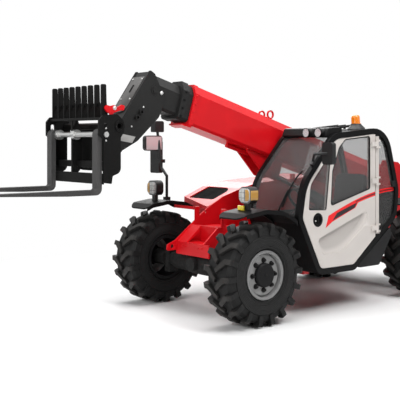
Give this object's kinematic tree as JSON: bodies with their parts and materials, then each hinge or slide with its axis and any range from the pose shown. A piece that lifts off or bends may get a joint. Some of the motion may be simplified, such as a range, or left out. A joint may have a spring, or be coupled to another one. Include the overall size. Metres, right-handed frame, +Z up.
{
  "type": "telehandler",
  "caption": "Compact telescopic handler: side cab, side engine under a hinged hood, three-section boom on a rear pivot, tilting fork carriage, and four steered wheels on lugged tyres.",
  "frame": {"origin": "on the ground, midway between the fork tips and the tow jaw and midway across the width over the mirrors", "axes": "+X forward towards the forks, +Y to the driver's left, +Z up"},
  "size_m": [6.114, 2.34, 2.5183],
  "materials": {
    "red_paint": "gloss",
    "black_paint": "satin",
    "cast_iron": "rough",
    "dark_plastic": "matt",
    "grey_plastic": "satin",
    "pale_panel": "gloss",
    "glass": "clear tinted",
    "steel": "bright",
    "rim_paint": "satin",
    "tyre": "matt",
    "amber": "clear",
    "lamp": "clear",
    "seat_cover": "matt",
    "engine_mass": "rough"
  },
  "bodies": {
    "frame": {"chassis": "red_paint", "counterweight": "cast_iron", "engine": "engine_mass", "fuel_tank": "dark_plastic", "oil_tank": "grey_plastic", "front_axle": "cast_iron", "rear_axle": "cast_iron", "front_fenders": "dark_plastic", "rear_fenders": "dark_plastic", "cab_frame": "black_paint", "cab_tub": "dark_plastic", "cab_roof": "dark_plastic", "cab_glass": "glass", "seat": "seat_cover", "controls": "dark_plastic", "lamps": "lamp", "beacon": "amber", "mirrors": "dark_plastic"},
    "hood": {"engine_hood": "red_paint", "hood_grille": "dark_plastic"},
    "cab_door": {"door": "pale_panel", "door_glass": "glass"},
    "outer_boom": {"boom_outer": "red_paint"},
    "middle_boom": {"boom_mid": "black_paint"},
    "inner_boom": {"boom_inner": "black_paint", "boom_head": "black_paint", "tilt_barrel": "black_paint"},
    "fork_carriage": {"coupler": "black_paint", "carriage": "black_paint", "load_guard": "black_paint", "fork_shaft": "steel", "forks": "black_paint", "levers": "red_paint"},
    "lift_cylinder": {"lift_barrel": "black_paint"},
    "lift_piston": {"lift_rod": "steel"},
    "tilt_piston": {"tilt_rod": "steel"},
    "steer_fl": {"knuckle_fl": "cast_iron"},
    "wheel_fl": {"rim_fl": "rim_paint", "tyre_fl": "tyre"},
    "steer_fr": {"knuckle_fr": "cast_iron"},
    "wheel_fr": {"rim_fr": "rim_paint", "tyre_fr": "tyre"},
    "steer_rl": {"knuckle_rl": "cast_iron"},
    "wheel_rl": {"rim_rl": "rim_paint", "tyre_rl": "tyre"},
    "steer_rr": {"knuckle_rr": "cast_iron"},
    "wheel_rr": {"rim_rr": "rim_paint", "tyre_rr": "tyre"}
  },
  "joints": [
    {"name": "steer_fl", "type": "hinge", "parent": "frame", "child": "steer_fl", "pos_m": [0.263, 0.6, 0.51], "axis": [0, 0, 1], "range_deg": [-35, 35]},
    {"name": "roll_fl", "type": "hinge", "parent": "steer_fl", "child": "wheel_fl", "pos_m": [0.263, 0.808, 0.51], "axis": [0, 1, 0], "continuous": true},
    {"name": "steer_fr", "type": "hinge", "parent": "frame", "child": "steer_fr", "pos_m": [0.263, -0.6, 0.51], "axis": [0, 0, 1], "range_deg": [-35, 35]},
    {"name": "roll_fr", "type": "hinge", "parent": "steer_fr", "child": "wheel_fr", "pos_m": [0.263, -0.808, 0.51], "axis": [0, 1, 0], "continuous": true},
    {"name": "steer_rl", "type": "hinge", "parent": "frame", "child": "steer_rl", "pos_m": [-2.397, 0.6, 0.51], "axis": [0, 0, -1], "range_deg": [-35, 35]},
    {"name": "roll_rl", "type": "hinge", "parent": "steer_rl", "child": "wheel_rl", "pos_m": [-2.397, 0.808, 0.51], "axis": [0, 1, 0], "continuous": true},
    {"name": "steer_rr", "type": "hinge", "parent": "frame", "child": "steer_rr", "pos_m": [-2.397, -0.6, 0.51], "axis": [0, 0, -1], "range_deg": [-35, 35]},
    {"name": "roll_rr", "type": "hinge", "parent": "steer_rr", "child": "wheel_rr", "pos_m": [-2.397, -0.808, 0.51], "axis": [0, 1, 0], "continuous": true},
    {"name": "boom_lift", "type": "hinge", "parent": "frame", "child": "outer_boom", "pos_m": [-2.697, 0, 1.38], "axis": [0, -1, 0], "range_deg": [-18.2, 48]},
    {"name": "telescope", "type": "slide", "parent": "outer_boom", "child": "middle_boom", "axis": [0.9578, 0, 0.2874], "range_m": [0, 1.25]},
    {"name": "telescope_inner", "type": "slide", "parent": "middle_boom", "child": "inner_boom", "axis": [0.9578, 0, 0.2874], "range_m": [0, 1.25]},
    {"name": "fork_tilt", "type": "hinge", "parent": "inner_boom", "child": "fork_carriage", "pos_m": [1.503, 0, 1.62], "axis": [0, 1, 0], "range_deg": [-18.6, 110]},
    {"name": "lift_barrel_swing", "type": "hinge", "parent": "frame", "child": "lift_cylinder", "pos_m": [-2.287, 0, 0.8], "axis": [0, -1, 0], "range_deg": [-20, 50]},
    {"name": "lift_rod_slide", "type": "slide", "parent": "lift_cylinder", "child": "lift_piston", "axis": [0.9264, 0, 0.3765], "range_m": [-0.23, 0.58]},
    {"name": "tilt_rod_slide", "type": "slide", "parent": "inner_boom", "child": "tilt_piston", "axis": [0.7059, 0, -0.7083], "range_m": [-0.07, 0.36]},
    {"name": "door_hinge", "type": "hinge", "parent": "frame", "child": "cab_door", "pos_m": [-1.427, 0.968, 1.375], "axis": [0, 0, 1], "range_deg": [0, 160]},
    {"name": "hood_hinge", "type": "hinge", "parent": "frame", "child": "hood", "pos_m": [-1.587, -0.3, 1.4], "axis": [-1, 0, 0], "range_deg": [0, 60]}
  ],
  "couplings": [
    {"joint": "steer_fr", "follows": "steer_fl", "ratio": 1},
    {"joint": "steer_rr", "follows": "steer_rl", "ratio": 1},
    {"joint": "telescope_inner", "follows": "telescope", "ratio": 1},
    {"joint": "lift_barrel_swing", "follows": "boom_lift", "ratio": 0.985},
    {"joint": "lift_rod_slide", "follows": "boom_lift", "m_per_rad": 0.67},
    {"joint": "tilt_rod_slide", "follows": "fork_tilt", "m_per_rad": 0.178}
  ]
}
